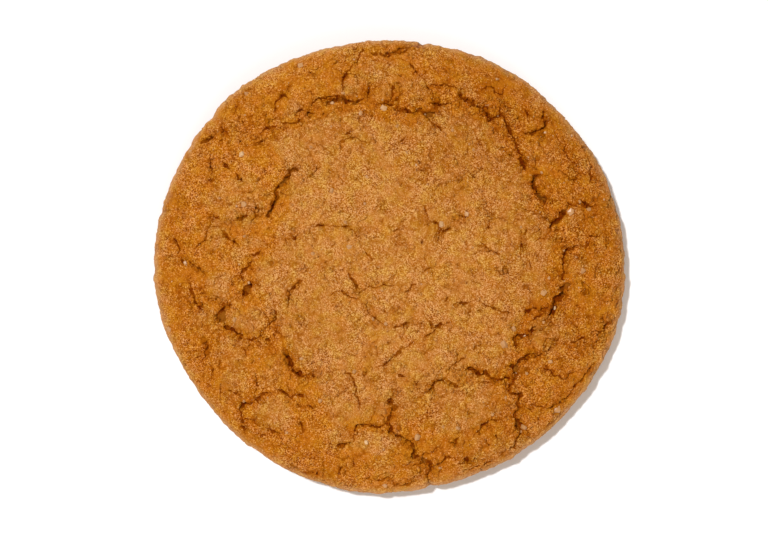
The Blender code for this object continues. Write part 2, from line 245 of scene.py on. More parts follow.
MIDDLE = (
    (0.25, -12.0, 5.0, -11.8, 5.7, -11.0, 6.0, -9.2, 6.0, -8.2, 5.8, -5.8, 5.6, -5.3, 5.0),
    (0.3, -5.3, 5.0, -5.0, 4.3, -4.5, 4.2),
    (0.35, -8.4, -4.3, -7.6, -4.0, -7.0, -4.0, -6.2, -4.5, -4.6, -4.8),
    (0.2, -4.4, -4.0, -3.9, -3.6, -3.3, -3.2, -2.0, -3.1, -1.0, -2.8, 0.5, -3.0),
    (0.4, -6.0, -1.3, -5.6, -2.0, -5.0, -2.8, -4.9, -3.4),
    (0.2, -3.8, -5.7, -3.3, -6.0, -3.2, -6.6, -2.0, -7.9, -1.2, -8.5, -0.5, -8.8),
    (0.35, 0.9, -8.9, 2.4, -8.6, 3.0, -8.4),
    (0.35, 4.9, -6.7, 5.1, -7.4, 6.1, -8.4, 6.4, -9.2, 7.2, -9.0, 7.8, -8.7, 8.9, -8.4),
    (0.35, 7.0, -9.4, 6.2, -10.1, 5.2, -10.6),
    (0.2, 2.2, -3.9, 2.8, -3.3, 3.5, -2.7, 4.0, -2.6),
    (0.2, 5.0, -1.0, 5.4, -0.4, 6.0, -0.1, 6.5, -0.2),
    (0.25, 8.5, -4.8, 8.2, -5.5),
    (0.3, 10.0, -5.6, 11.3, -5.7, 12.2, -5.3),
    (0.25, 13.4, -5.2, 14.2, -5.6, 15.6, -6.4, 16.5, -6.8, 18.0, -7.0),
    (0.2, -3.5, 2.3, -3.1, 1.6, -2.4, 1.1),
    (0.25, -1.7, -15.0, -0.2, -14.1, 0.9, -13.3, 1.5, -12.6, 2.4, -11.9, 3.8, -11.1),
    (0.25, 13.4, 3.4, 14.2, 2.9, 14.8, 2.1, 15.5, 1.9, 16.2, 1.7),
)
EAST = (
    (0.3, 26.3, 9.4, 27.6, 9.0, 28.4, 8.8),
    (0.45, 28.6, 9.6, 29.3, 9.4, 30.1, 9.0, 30.5, 8.9),
    (0.7, 26.3, 8.6, 25.8, 7.7, 25.2, 7.0, 24.5, 6.6, 24.0, 5.8),
    (0.5, 28.1, 3.1, 27.5, 2.9, 27.5, 2.3, 26.2, 1.9, 26.0, 1.0, 26.1, -1.0, 25.8, -1.6),
    (1.0, 26.6, -2.8, 25.7, -3.4, 25.6, -4.4, 24.9, -5.2, 24.4, -6.8, 23.9, -7.4),
    (0.25, 29.7, 4.0, 29.6, 3.2, 29.4, 2.8),
    (0.25, 30.0, 4.4, 30.9, 4.2),
    (0.25, 19.8, 3.9, 19.7, 2.7, 19.6, 1.8, 19.5, 1.2, 20.1, 0.4),
    (0.2, 21.8, 3.8, 22.3, 4.3, 23.4, 4.2, 24.2, 3.9),
    (0.2, 20.3, 5.2, 20.4, 4.6),
    (0.2, 22.5, 5.6, 21.7, 4.9),
    (0.2, 16.0, -0.6, 16.8, -0.8, 17.6, 0.1),
    (0.35, 20.0, -7.3, 20.6, -6.7, 21.4, -6.4, 22.3, -6.4, 23.2, -6.2),
    (0.3, 21.3, -8.0, 21.9, -7.7, 22.7, -7.1),
    (0.5, 21.1, -10.0, 21.4, -9.4, 21.8, -9.0),
    (0.55, 20.6, -10.3, 19.0, -10.4, 18.5, -11.0, 18.8, -11.8),
    (0.25, 34.5, -5.3, 34.2, -5.8),
    (0.25, 34.6, -0.6, 33.9, -1.4),
    (0.35, 33.9, -8.3, 33.1, -8.6, 32.4, -9.2, 32.3, -9.9),
    (0.25, 32.0, -9.8, 30.6, -9.8, 30.2, -10.3),
    (0.25, 29.8, -10.8, 28.7, -10.9, 28.1, -11.4, 27.2, -11.8),
    (0.2, 31.0, -11.4, 31.6, -11.1),
)
SOUTH_WEST = (
    (0.4, -27.2, -12.0, -27.5, -12.6, -27.5, -13.4, -27.9, -14.0),
    (0.3, -26.8, -14.9, -26.5, -15.3, -26.7, -16.5),
    (0.2, -22.0, -12.0, -21.5, -12.7, -21.2, -13.5),
    (1.1, -15.4, -13.2, -14.9, -14.0, -14.5, -15.0),
    (0.6, -14.6, -15.1, -14.0, -15.7, -13.2, -16.1, -12.8, -16.2),
    (0.3, -11.8, -15.9, -11.4, -16.4, -10.6, -16.6),
    (0.25, -19.9, -16.9, -19.7, -17.7, -20.4, -19.4, -19.9, -20.1),
    (0.5, -20.4, -20.3, -22.0, -20.7, -22.5, -21.4, -22.0, -23.0, -22.2, -23.9, -21.9, -24.7),
    (0.3, -20.4, -20.0, -19.3, -19.3, -18.5, -18.8, -17.7, -18.8),
    (0.4, -16.4, -18.2, -15.7, -18.7, -14.7, -19.6, -14.0, -19.3, -13.0, -19.2, -12.4, -19.6),
    (0.2, -24.0, -18.4, -23.4, -18.8, -22.3, -19.2),
    (0.4, -18.0, -24.4, -17.2, -24.7, -16.4, -24.8),
    (0.25, -19.4, -25.4, -18.5, -25.3),
    (0.25, -13.1, -22.9, -13.2, -24.4),
    (0.3, -21.4, -23.0, -20.2, -23.0, -20.0, -23.6),
    (0.3, -14.0, -30.4, -13.0, -31.0, -11.2, -30.9, -10.5, -31.3, -9.9, -31.4),
)
SOUTH = (
    (0.35, -6.7, -15.7, -5.8, -15.7, -5.8, -16.4, -5.3, -16.9, -5.3, -17.6, -4.9, -18.2),
    (0.25, -4.9, -18.2, -4.9, -19.2, -4.5, -20.2, -4.3, -21.2),
    (0.2, -6.5, -18.2, -6.0, -17.9),
    (0.25, 1.3, -16.3, 2.4, -16.6),
    (0.25, 3.6, -17.0, 4.0, -17.7, 4.4, -18.4),
    (0.35, 5.0, -19.0, 5.7, -18.7, 6.2, -18.1, 6.7, -17.3, 7.8, -17.0, 8.6, -17.4),
    (0.6, 6.9, -17.2, 7.7, -17.0),
    (0.35, 8.6, -17.4, 9.5, -17.8, 10.1, -18.0, 10.4, -17.4),
    (0.25, 8.6, -15.9, 9.0, -15.3, 9.7, -14.8, 11.2, -13.3),
    (0.55, 11.2, -15.4, 12.0, -15.2, 12.7, -15.7, 13.5, -16.3, 14.3, -15.9, 15.0, -16.6),
    (0.5, 15.0, -16.6, 16.0, -16.9, 16.8, -17.0, 17.8, -16.8),
    (0.45, 0.8, -18.4, 0.4, -19.8, 0.0, -20.2, 0.8, -20.8, 0.2, -22.4, -0.5, -23.6),
    (0.35, -0.6, -23.7, -2.2, -24.0, -4.2, -23.5, -4.6, -23.4, -5.1, -24.2, -5.3, -24.9),
    (0.3, -5.4, -25.2, -5.6, -26.1, -6.6, -26.6, -7.7, -26.8),
    (0.5, 0.0, -23.6, 0.2, -24.6, 0.9, -25.1, 2.0, -25.7, 3.0, -26.2, 3.6, -26.9),
    (0.65, 3.6, -26.9, 3.9, -27.5, 3.6, -28.3, 4.6, -28.6, 5.4, -29.3),
    (0.5, 5.4, -29.3, 6.2, -29.6, 6.4, -30.4, 6.1, -30.9, 5.8, -31.5, 6.0, -32.3),
    (0.3, 6.0, -32.3, 6.1, -33.4),
    (0.3, 6.5, -29.9, 7.3, -29.7, 8.6, -28.5, 9.2, -28.5),
    (0.35, 10.4, -25.5, 10.0, -26.0, 9.8, -26.7, 9.2, -26.4),
    (0.2, 5.6, -21.5, 5.8, -22.2),
    (0.2, 6.3, -21.9, 7.4, -21.5),
    (0.2, -5.3, -28.6, -5.4, -29.4, -5.3, -30.0),
    (0.3, -7.0, -30.0, -7.3, -30.4, -7.9, -31.4),
    (0.3, -2.3, -31.9, -1.9, -32.2, -0.2, -31.8, 0.9, -32.8, 3.5, -32.5),
    (0.4, 11.6, -28.4, 11.7, -29.4),
    (0.25, -12.0, -20.6, -11.5, -21.2, -11.0, -21.0),
)
SOUTH_EAST = (
    (0.6, 21.4, -13.2, 20.8, -13.4, 19.7, -14.1, 18.6, -14.7),
    (1.1, 18.9, -14.7, 18.5, -15.4, 19.0, -16.2),
    (0.5, 18.9, -16.4, 18.3, -17.3, 18.1, -18.2, 18.2, -18.9),
    (0.55, 18.2, -18.9, 19.5, -19.4, 19.2, -20.4, 19.4, -21.3, 18.8, -22.2, 18.7, -22.8),
    (0.55, 18.7, -22.8, 19.9, -23.6, 19.8, -24.8, 19.5, -25.4, 19.2, -26.3, 19.0, -27.0),
    (0.8, 19.0, -23.6, 19.5, -24.8),
    (0.35, 19.0, -27.0, 18.2, -27.3, 17.3, -27.9, 16.5, -28.5),
    (0.25, 15.3, -29.3, 14.3, -29.6, 13.2, -30.0, 12.2, -30.6),
    (0.3, 23.0, -15.4, 24.0, -15.4, 24.6, -16.1, 25.9, -16.8, 26.4, -16.3, 28.0, -15.9),
    (0.3, 30.8, -14.8, 29.4, -16.3, 28.9, -17.0, 28.2, -17.9, 27.7, -18.7, 26.9, -19.5),
    (0.3, 26.9, -19.5, 26.1, -20.1, 25.2, -20.7, 24.4, -21.2, 23.2, -21.4),
    (0.3, 25.9, -22.0, 25.3, -22.8, 24.2, -23.7, 23.3, -24.4),
    (0.2, 21.6, -20.8, 22.6, -21.0, 22.9, -21.4),
    (0.2, 20.4, -21.4, 21.4, -21.4),
    (0.3, 16.2, -23.1, 15.2, -22.9, 14.6, -23.5, 13.8, -23.9, 12.8, -25.0),
    (0.2, 16.0, -25.3, 16.4, -26.4),
    (0.25, 21.5, -12.2, 21.6, -12.8),
)
CRACKS = NORTH_WEST + NORTH + NORTH_EAST + WEST + MIDDLE + EAST + SOUTH_WEST + SOUTH + SOUTH_EAST

# Pinholes that show one by one: place and width
PINHOLES = (
    (-24.1, 18.3, 0.4), (-22.4, 18.4, 0.4), (4.5, 15.2, 0.4), (19.3, 21.9, 0.5), (21.9, 14.4, 0.5),
    (15.9, 23.8, 0.4), (11.5, -2.5, 0.5), (5.1, 3.5, 0.5), (-11.3, 1.3, 0.4), (28.9, -2.8, 0.6),
    (22.5, -22.8, 0.4), (21.6, -24.3, 0.4), (30.8, -13.1, 0.4), (3.8, -27.4, 0.7), (-19.7, -17.7, 0.4),
    (-11.5, 2.8, 0.4), (26.9, -3.6, 0.4),
)

# The crust sinks in a shallow band along these lines
VALLEYS = (
    ((-19.5, 19.0), (-13.0, 22.0), (-6.0, 24.2), (2.0, 23.2), (9.0, 24.2), (15.0, 22.3)),
    ((15.0, 22.3), (21.8, 12.4), (26.4, 1.0), (25.4, -4.5), (18.9, -15.0), (19.4, -25.0)),
    ((18.9, -15.8), (13.6, -16.2), (8.0, -17.4), (1.0, -21.0), (4.0, -27.6), (6.2, -31.0)),
    ((-28.5, -5.0), (-25.0, -8.2), (-20.0, -11.0), (-14.5, -14.6), (-9.0, -17.0)),
    ((-13.8, 14.4), (-17.0, 10.5), (-20.2, 7.4), (-23.2, 6.6)),
)

# Where the crust is baked to a pale, rough plate: the outline of the middle one
PLATE_EDGE = (
    (-18.0, 18.5), (-13.0, 21.0), (-8.0, 22.5), (-4.0, 23.0), (-2.0, 21.5), (3.0, 20.5), (8.0, 23.0),
    (14.0, 21.5), (16.0, 19.0), (18.0, 16.0), (20.0, 13.0), (21.0, 9.0), (23.5, 7.0), (24.0, 3.0),
    (23.0, 0.0), (24.0, -4.0), (21.0, -6.0), (19.0, -9.0), (18.0, -11.0), (18.5, -13.5), (16.0, -15.5),
    (12.0, -14.5), (7.0, -17.0), (5.0, -18.5), (5.0, -21.0), (3.0, -23.0), (0.0, -21.5), (-3.0, -22.0),
    (-6.0, -23.5), (-9.0, -22.0), (-11.0, -16.5), (-14.0, -13.5), (-16.0, -10.0), (-18.0, -6.5),
    (-19.5, -4.0), (-20.0, -1.0), (-17.0, 3.0), (-16.0, 8.0), (-15.0, 10.5), (-14.5, 13.0),
)
# The small ones round it: place, half width and half height, and how pale, from 0 to 1
PLATES = (
    (-22.5, 9.5, 4.0, 3.5, 0.8), (-26.0, 4.5, 2.0, 2.0, 0.8), (-22.5, 1.5, 1.3, 1.3, 0.9),
    (-20.5, 3.5, 1.2, 1.2, 0.7), (-25.5, -3.0, 2.0, 2.0, 1.0), (-28.0, -7.5, 1.8, 1.8, 0.7),
    (-21.5, -8.0, 3.5, 1.8, 1.0), (-23.5, -13.0, 2.2, 2.2, 0.8), (-23.0, -17.5, 2.0, 3.5, 0.6),
    (-17.5, -16.5, 2.0, 2.0, 0.5), (-17.5, -22.0, 3.2, 2.3, 1.0), (-7.0, -21.5, 2.0, 2.0, 0.9),
    (-7.5, -25.0, 1.6, 1.6, 0.9), (-2.0, -26.5, 3.5, 2.0, 1.0), (-0.5, -30.0, 1.5, 1.5, 0.5),
    (2.0, -20.5, 1.8, 1.8, 1.0), (10.5, -20.5, 5.5, 4.5, 0.9), (15.0, -27.5, 5.0, 2.5, 0.5),
    (27.0, 7.5, 1.5, 1.5, 0.8), (28.5, 0.0, 1.0, 1.0, 0.8), (24.0, -10.0, 2.5, 3.0, 0.8),
    (22.5, 17.0, 2.5, 2.5, 0.5), (-1.0, 28.0, 4.0, 2.5, 0.6), (4.5, 26.0, 2.2, 2.2, 0.7),
    (-6.0, 26.5, 2.0, 1.0, 0.7), (11.5, 26.3, 1.2, 1.2, 0.8), (8.0, 22.5, 1.2, 1.2, 0.8),
    (-14.5, 23.5, 1.3, 1.3, 0.8), (13.0, 24.5, 1.0, 1.0, 0.6),
)

# Where the crust is darker or paler than round it: place, reach and share. Those near the rim are painted
# light and shade.
DARKER_OR_PALER = (
    (14.3, 14.3, 6.0, -0.12), (5.0, 14.5, 4.0, -0.07), (20.5, -4.0, 5.0, -0.09), (-9.6, -9.5, 5.0, -0.06),
    (-3.6, -15.6, 4.0, -0.05), (-15.5, 2.5, 3.5, -0.07), (-15.0, 12.0, 5.5, 0.035), (2.0, -4.0, 5.0, 0.03),
    (-27.0, -5.0, 4.5, 0.05), (28.0, 6.0, 6.0, -0.035), (24.0, 12.0, 5.0, -0.03), (15.0, 24.0, 4.0, -0.04),
    (-15.0, 26.0, 5.0, 0.06), (-5.0, 30.0, 6.0, 0.055), (4.0, 31.0, 5.0, 0.045), (-21.6, 8.3, 4.0, 0.045),
    (-26.0, 15.0, 5.0, 0.03), (33.5, -16.5, 4.0, 0.15), (28.5, -23.0, 3.5, 0.11), (22.0, -29.0, 4.0, 0.11),
    (9.0, -33.5, 4.5, 0.09), (0.0, -33.5, 5.0, 0.11), (20.3, -15.6, 3.0, -0.04), (33.5, -9.0, 4.0, 0.10),
    (6.0, 19.0, 7.0, -0.035), (-15.6, -15.6, 3.0, 0.04), (-26.0, 3.0, 4.0, 0.035),
    (-3.6, 26.0, 3.0, -0.05), (-3.6, 8.3, 4.0, 0.04), (-12.5, -27.5, 4.0, -0.03), (27.0, -9.0, 5.0, -0.03),
)

# Sugar crystals that show one by one: place, size and how white, from 0 to 1
CRYSTALS = (
    (-13.3, 30.0, 0.8, 0.4), (-21.9, 16.7, 0.8, 0.9), (-21.3, 25.8, 0.6, 0.2), (-29.8, 17.3, 0.4, 0.5),
    (-8.5, 24.2, 0.7, 0.6), (-6.9, 25.8, 0.5, 0.4), (-0.9, 23.5, 0.8, 0.6), (-4.3, 22.7, 0.6, 0.4),
    (-5.3, 30.9, 0.3, 0.6), (5.2, 22.6, 0.4, 0.6), (20.6, 16.2, 0.4, 0.6), (22.5, 14.0, 0.4, 0.6),
    (23.1, 20.0, 0.35, 0.6), (27.2, 19.6, 0.4, 0.5), (24.3, 19.5, 0.25, 0.6), (16.0, 28.0, 0.4, 0.5),
    (-20.8, -2.3, 0.4, 0.7), (-30.3, 0.6, 0.6, 0.5), (-22.2, 0.4, 0.3, 0.6), (-32.4, -2.1, 0.25, 0.7),
    (-21.6, 9.3, 0.7, 0.5), (-22.9, -7.8, 0.6, 0.4), (-32.9, -9.3, 0.8, 0.4), (-8.6, 11.3, 0.7, 0.5),
    (-6.0, 3.0, 0.7, 0.5), (-6.6, 6.6, 0.5, 0.4), (-11.4, 2.0, 0.6, 0.4), (-0.6, -8.4, 0.5, 0.5),
    (7.6, 6.3, 0.6, 0.7), (11.4, 7.8, 0.6, 0.5), (-1.1, -3.4, 0.5, 0.5), (24.6, -6.1, 0.6, 1.0),
    (22.8, -3.8, 0.9, 0.4), (28.5, -0.5, 0.9, 0.3), (20.0, -10.2, 0.35, 1.0), (26.9, 8.2, 0.8, 0.4),
    (19.4, 5.9, 0.4, 0.5), (15.6, 2.6, 0.9, 0.4), (29.6, 8.6, 0.6, 0.4), (28.2, 9.7, 0.5, 0.4),
    (17.0, -11.4, 1.0, 0.2), (18.3, -9.1, 0.7, 0.3), (22.8, -8.2, 0.5, 0.4), (32.0, 10.1, 0.3, 0.5),
    (-13.0, -13.5, 0.5, 0.5), (-3.4, -25.9, 0.6, 0.9), (4.0, -25.1, 0.8, 0.5), (-10.2, -19.8, 0.6, 0.5),
    (10.1, -23.8, 0.6, 0.4), (7.5, -29.9, 0.4, 0.5), (-5.2, -15.4, 0.7, 0.4), (-0.9, -27.0, 0.3, 0.6),
    (-0.7, -32.6, 0.6, 0.4), (18.8, -15.7, 0.35, 0.8), (20.3, -15.8, 0.4, 0.6), (23.8, -14.0, 0.5, 0.4),
    (17.2, -19.3, 0.5, 0.4), (20.0, -23.9, 0.9, 0.3), (25.0, -21.2, 0.8, 0.3), (26.4, -21.3, 0.6, 0.3),
)

# Crumbs: name, seed, how many, how round, least and most size, and the share that lies near cracks
CRUMBS = (
    ("crumbs", 101, 2200, 2, 0.15, 0.42, 0.8),
    ("fine_crumbs", 104, 9500, 1, 0.09, 0.20, 0.4),
)
CRUMB_STRETCH = 0.25
CRUMB_DENTS = 0.16
CRUMB_DEPTH = 0.3  # of its size, that a crumb is sunk in the crust
LOWEST_CRUMB = 4.5
FINE_SUGAR_COUNT = 24000
FINE_SUGAR_SIZE = (0.045, 0.055)  # the least, and how much larger the largest is
FINE_SUGAR_DEPTH = 0.2
LOWEST_SUGAR = 0.8
MORE_CRYSTALS = 60  # besides those that show one by one
MORE_CRYSTALS_REACH = 33.0
CRYSTAL_DEPTH = 0.15
CRYSTAL_ROUNDNESS = 0.45  # 1 for a ball, 0 for a block
CRYSTAL_SIDES = (1.0, 0.85, 0.7)
CRYSTAL_REACH = 0.62  # of its size, from the middle to a face
CRYSTAL_STRETCH = 0.15
CRYSTAL_DENTS = 0.08

# Colours of the dough and of the plates, linear, from the painted shade of the darkest cracks at 0 to the
# sugar at 1
TONES = (
    (0.00, (0.118, 0.0145, 0.0000), (0.115, 0.015, 0.0001)),
    (0.17, (0.170, 0.034, 0.0002), (0.166, 0.035, 0.0004)),
    (0.33, (0.241, 0.059, 0.0010), (0.236, 0.063, 0.0018)),
    (0.50, (0.322, 0.093, 0.0030), (0.309, 0.103, 0.0085)),
    (0.67, (0.402, 0.135, 0.0085), (0.382, 0.149, 0.026)),
    (0.83, (0.482, 0.187, 0.026), (0.458, 0.207, 0.050)),
    (1.00, (0.570, 0.260, 0.070), (0.548, 0.280, 0.093)),
)
DOUGH, PLATE = 1, 2  # their columns
YELLOWER = (1.00, 1.06, 0.82)
ROSIER = (1.00, 0.95, 1.04)
CRACK_FLOOR = (0.26, 0.085, 0.006)
UNDERSIDE = (0.26, 0.075, 0.006)
# The side's own, less browned colour, and painted sheen and bounce light from the floor
PALE_SIDE_AND_SHEEN = (0.44, 0.26, 0.14)
# Sugar: its dull and its bright colour, and its roughness
SUGARS = {
    "fine_sugar": ((0.48, 0.22, 0.05), (0.70, 0.40, 0.15), 0.4),
    "sugar": ((0.38, 0.18, 0.06), (0.64, 0.44, 0.24), 0.35),
}
PAPER_TONES = ((0.77, 0.77, 0.77), (0.79, 0.79, 0.79))

# The tone of plain dough, and how much each mark of the crust adds to it. Cracks, tears, creases, lump
# lines, seams, pits, and sunk, torn and creased places are darker as painted shade; low places and the
# dough slumping beside a crack are darker partly as painted shade and partly in their own colour; the paler
# edge is painted sheen and bounce light from the floor; the darker or paler patches near the rim are
# painted light and shade.
BASE_TONE = 0.578
TONE_SHARES = {
    "crusted": 0.050, "middle": 0.03, "outer_ring": -0.045, "edge": 0.10, "outermost": 0.12,
    "darker_or_paler": 1.0, "tear": -0.15, "crease": -0.12, "lump_line": -0.065, "seam": -0.20,
    "crack": -0.31, "height": 0.08, "patch": 0.04, "grain": 1.0, "glint": 0.20, "slumped": -0.03,
    "torn": -0.05, "creased": -0.04, "pit": -0.12, "sunk": -0.03,
}
GRAIN_CONTRAST = (2.1, -0.33)  # by the noise "rough", and where that is 0
CALM_SHARE = 0.7  # how much less the grains show inside a dark line
LINE_SHAKE = 0.36  # how far a line's edges stray
PALENESS = (1.8, -0.9)  # by the noise "pale", and where that is 0
# How much paler the edge is painted, as sheen and bounce light, and how much less pale the raw dough beside
# the cracks is
EDGE_PALENESS = 0.7
# Where a mark sets in, and where it is at its fullest
RANGES = {
    "middle": (27.0, 12.0), "outer_ring": (26.0, 31.0), "edge": (6.0, 3.8), "outermost": (4.6, 3.3),
    "foot": (1.0, 2.8), "underside": (1.8, 0.1), "lump_line": (0.78, 1.15), "seam": (0.17, 0.03),
    "rounded": (0.0, 0.3), "patchy": (0.35, 0.6), "height": (-0.3, 0.3), "slumped": (0.04, 0.4),
    "torn": (0.03, 0.25), "sunk": (0.0, 0.5), "glint": (0.93, 0.97), "crack": (0.05, -0.05),
    "near_crack": (0.6, 0.4), "yellower": (0.5, 0.68), "rosier": (0.5, 0.32), "haze": (0.4, 0.7),
}
# Noise in the materials: wavelength, detail and roughness
NOISES = {
    "patchy": (1.6, 2.0, 0.5), "line_edge": (0.45, 2.0, 0.6), "patch": (1.3, 3.0, 0.6),
    "rough": (4.0, 1.0, 0.5), "pale": (2.0, 1.0, 0.4), "hue": (1.5, 0.5, 0.4),
    "grit": (0.42, 3.0, 0.7), "haze": (0.25, 2.0, 0.6), "paper": (40.0, 2.0, 0.5),
}
# Cells: their size, the wavelength and size of the noise that bends them, and their detail
GRAIN_CELLS = (0.13, 0.3, 0.16, 0.0)
LUMP_CELLS = (1.1, 1.0, 1.2, 1.0)
SEAM_CELLS = (1.0, 0.8, 0.9, 1.0)
# Bumps of the grains, the grit, the lumps and the seams: depth, and whether it is turned inside out
BUMPS = ((0.035, True), (0.035, False), (0.08, True), (0.13, False))

# Camera and light
CAMERA_PLACE = (-0.82, -1.03, 323.4)
CAMERA_LENS = 100.0
KEY_COLOUR = (0.98, 1.0, 1.03)
SOFT_COLOUR = (1.03, 0.945, 0.86)  # the light that the room sends back is warmer
# Suns: degrees from +X towards +Y and above the floor, strength, width in degrees and colour
SUNS = {
    "key": (140.0, 65.0, 3.0, 5.0, KEY_COLOUR),
    "fill": (280.0, 30.0, 1.45, 60.0, SOFT_COLOUR),
    "back": (98.0, 30.0, 0.45, 60.0, SOFT_COLOUR),
}
SKY_STRENGTH = 0.40
FLOOR_SIZE = 4000.0


def smoothstep(low, high, value):
    t = np.clip((value - low) / (high - low), 0.0, 1.0)
    return t * t * (3.0 - 2.0 * t)


def noise(points, wavelength, seed):
    """Gradient noise from about -1 to 1, the same for the same seed."""
    random = np.random.default_rng(seed)
    order = random.permutation(256)
    slopes = random.normal(size=(256, 3))
    slopes /= np.linalg.norm(slopes, axis=1, keepdims=True)
    scaled = points / wavelength
    cell = np.floor(scaled).astype(np.int64)
    inside = scaled - cell
    ease = inside**3 * (inside * (inside * 6.0 - 15.0) + 10.0)
    total = np.zeros(len(points))
    for corner in itertools.product((0, 1), repeat=3):
        x, y, z = ((cell + corner) & 255).T
        slope = slopes[order[(order[(order[x] + y) & 255] + z) & 255]]
        weight = np.prod(np.where(corner, ease, 1.0 - ease), axis=1)
        total += weight * np.sum((inside - corner) * slope, axis=1)
    return 1.6 * total


def layered(points, layers):
    """The sum of several layers of noise."""
    return sum(size * noise(points, wavelength, seed) for wavelength, size, seed in layers)


def patches(points, wavelength, seed, low, high):
    """1 in patches, 0 between them, from noise that is cut off at low and high."""
    return smoothstep(low, high, noise(points, wavelength, seed))


def outline_share(angle):
    share = np.ones_like(angle)
    for lobes, size, direction in OUTLINE_LOBES:
        share += size * np.cos(lobes * (angle - math.radians(direction)))
    for direction, depth, half_width in OUTLINE_DENTS + OUTLINE_SWELLINGS:
        turn = np.degrees(angle) - direction
        turn = (turn + 180.0) % 360.0 - 180.0
        share -= depth / RADIUS * np.exp(-((turn / half_width) ** 2))
    return share


def profile():
    """The share of vertices so far, down the side, with the radius, the height and the outward normal."""
    top = np.linspace(0.0, math.pi / 2, 900)
    top_radius = np.sin(top) ** (2.0 / DOME_POWER)
    top_height = EDGE_HEIGHT + (THICKNESS - EDGE_HEIGHT) * np.cos(top)
    turn = np.linspace(0.0, math.pi / 2, 200)[1:]
    turn_radius = FOOT_SHARE + (1.0 - FOOT_SHARE) * np.cos(turn)
    turn_height = EDGE_HEIGHT * (1.0 - np.sin(turn))
    foot_radius = np.linspace(FOOT_SHARE, 0.0, 300)[1:]
    radius = RADIUS * np.concatenate([top_radius, turn_radius, foot_radius])
    height = np.concatenate([top_height, turn_height, np.zeros(len(foot_radius))])
    run = np.gradient(radius)
    rise = np.gradient(height)
    length = np.hypot(run, rise)
    density = np.where(height > 0.2 * EDGE_HEIGHT, TOP_DENSITY, 1.0)
    steps = np.hypot(np.diff(radius), np.diff(height))
    rings = 0.5 * (radius[1:] + radius[:-1]) * steps * density[1:]
    share = np.concatenate([[0.0], np.cumsum(rings)]) / np.sum(rings)
    return share, radius, height, -rise / length, run / length


def smooth_biscuit(sphere):
    """Moves a unit sphere's vertices to the biscuit without its relief, and gives the normals there."""
    angle = np.arctan2(sphere[:, 1], sphere[:, 0])
    down = 0.5 * (1.0 - np.clip(sphere[:, 2], -1.0, 1.0))
    share, *columns = profile()
    reach, level, outwards, upwards = (np.interp(down, share, column) for column in columns)
    reach *= outline_share(angle)
    body = np.stack([reach * np.cos(angle), reach * np.sin(angle), level], axis=1)
    return body, np.stack([outwards * np.cos(angle), outwards * np.sin(angle), upwards], axis=1)


def distance_to(path, places):
    """Distance of each place from the path, where along it from 0 to 1, and on which side."""
    nearest = np.full(len(places), np.inf)
    along = np.zeros(len(places))
    side = np.ones(len(places))
    steps = np.linalg.norm(np.diff(path, axis=0), axis=1)
    walked = np.concatenate([[0.0], np.cumsum(steps)])
    for start, end, step, before in zip(path, path[1:], steps, walked):
        share = np.clip((places - start) @ (end - start) / step**2, 0.0, 1.0)
        gap = np.linalg.norm(places - start - share[:, None] * (end - start), axis=1)
        left = (places - start) @ (start[1] - end[1], end[0] - start[0]) > 0.0
        closer = gap < nearest
        nearest[closer] = gap[closer]
        along[closer] = (before + share[closer] * step) / walked[-1]
        side[closer] = np.where(left[closer], 1.0, -1.0)
    return nearest, along, side


def crack_relief(places, ragged, broken):
    """What the cracks do to the crust: its relief, and how each place there looks."""
    marks = {name: np.zeros(len(places)) for name in ("sunk", "slumped", "raised", "floor", "crumbled")}
    lines = {name: np.full(len(places), FAR) for name in ("crack_gap", "crack_offset")}
    lines["crack_half_width"] = np.zeros(len(places))
    for width, *numbers in CRACKS:
        path = np.reshape(numbers, (-1, 2))
        reach = width + 2.5 * LIP_REACH
        inside = np.all((places > path.min(0) - reach) & (places < path.max(0) + reach), axis=1)
        near = np.nonzero(inside)[0]
        gap, along, side = distance_to(path, places[near])
        narrowing = np.clip(4.0 * along * (1.0 - along) + END_DEPTH, 0.0, 1.0) ** 0.5
        half = (OPENING[0] + OPENING[1] * width + OPENING[2] * width**2) * narrowing * ragged[near]
        bridged = (1.0 - broken[near]) * min(1.0, BRIDGED_WIDTH / width)
        depth = np.interp(width, CRACK_WIDTHS, CRACK_DEPTHS) * narrowing * (1.0 - bridged)
        wall = 1.0 - smoothstep(WALL_START * half, half + WALL_SLANT, gap)
        share = np.interp(width, (CRACK_WIDTHS[0], WIDE), CRUMBLE_SHARES)
        done = {
            "sunk": depth * wall,
            "slumped": depth * np.exp(-gap / SHOULDER_REACH),
            "raised": np.exp(-(((gap - LIP_REACH) / (0.6 * LIP_REACH)) ** 2)) * depth,
            "crumbled": share * np.exp(-((gap / CRUMBLE_REACH) ** 2)),
        }
        if width > WIDE:
            done["floor"] = wall
        for name, values in done.items():
            marks[name][near] = np.maximum(marks[name][near], values)
        closer = gap < lines["crack_gap"][near]
        for name, values in zip(lines, (gap, side * gap, half)):
            lines[name][near[closer]] = values[closer]
    for x, y, width in PINHOLES:
        gap = np.hypot(places[:, 0] - x, places[:, 1] - y)
        hole = PINHOLE_DEPTH * np.clip(1.0 - (gap / (0.6 * width)) ** 2, 0.0, 1.0)
        marks["sunk"] = np.maximum(marks["sunk"], hole)
    relief = LIP_SHARE * marks.pop("raised") - SHOULDER_SHARE * marks["slumped"] - marks["sunk"]
    return relief, marks, lines


def distance_off(line, wavelength, shows):
    """About how far a place is from where the noise is 0, and far where nothing shows."""
    return np.clip(line * wavelength / SLOPE / np.maximum(shows, 0.05), -FAR, FAR)


def pillow_relief(body, bent):
    """Relief of the pillows, how creased each place is, and how far off the sharp creases are."""
    relief = np.zeros(len(body))
    creased = np.zeros(len(body))
    lines = {}
    for number, (wavelength, size, seed) in enumerate(PILLOWS, start=1):
        line = noise(bent, wavelength, seed)
        rise = np.abs(line)
        relief += size * (2.0 * rise - 0.55)
        shows = patches(body, 2.0 * wavelength, seed + 10, -0.05, 0.3)
        if f"crease_{number}" in LINE_HALF_WIDTHS:
            lines[f"crease_{number}"] = distance_off(line, wavelength, shows)
        creased = np.maximum(creased, shows * (1.0 - smoothstep(0.0, CREASE_WIDTH / wavelength, rise)))
    return relief, creased, lines


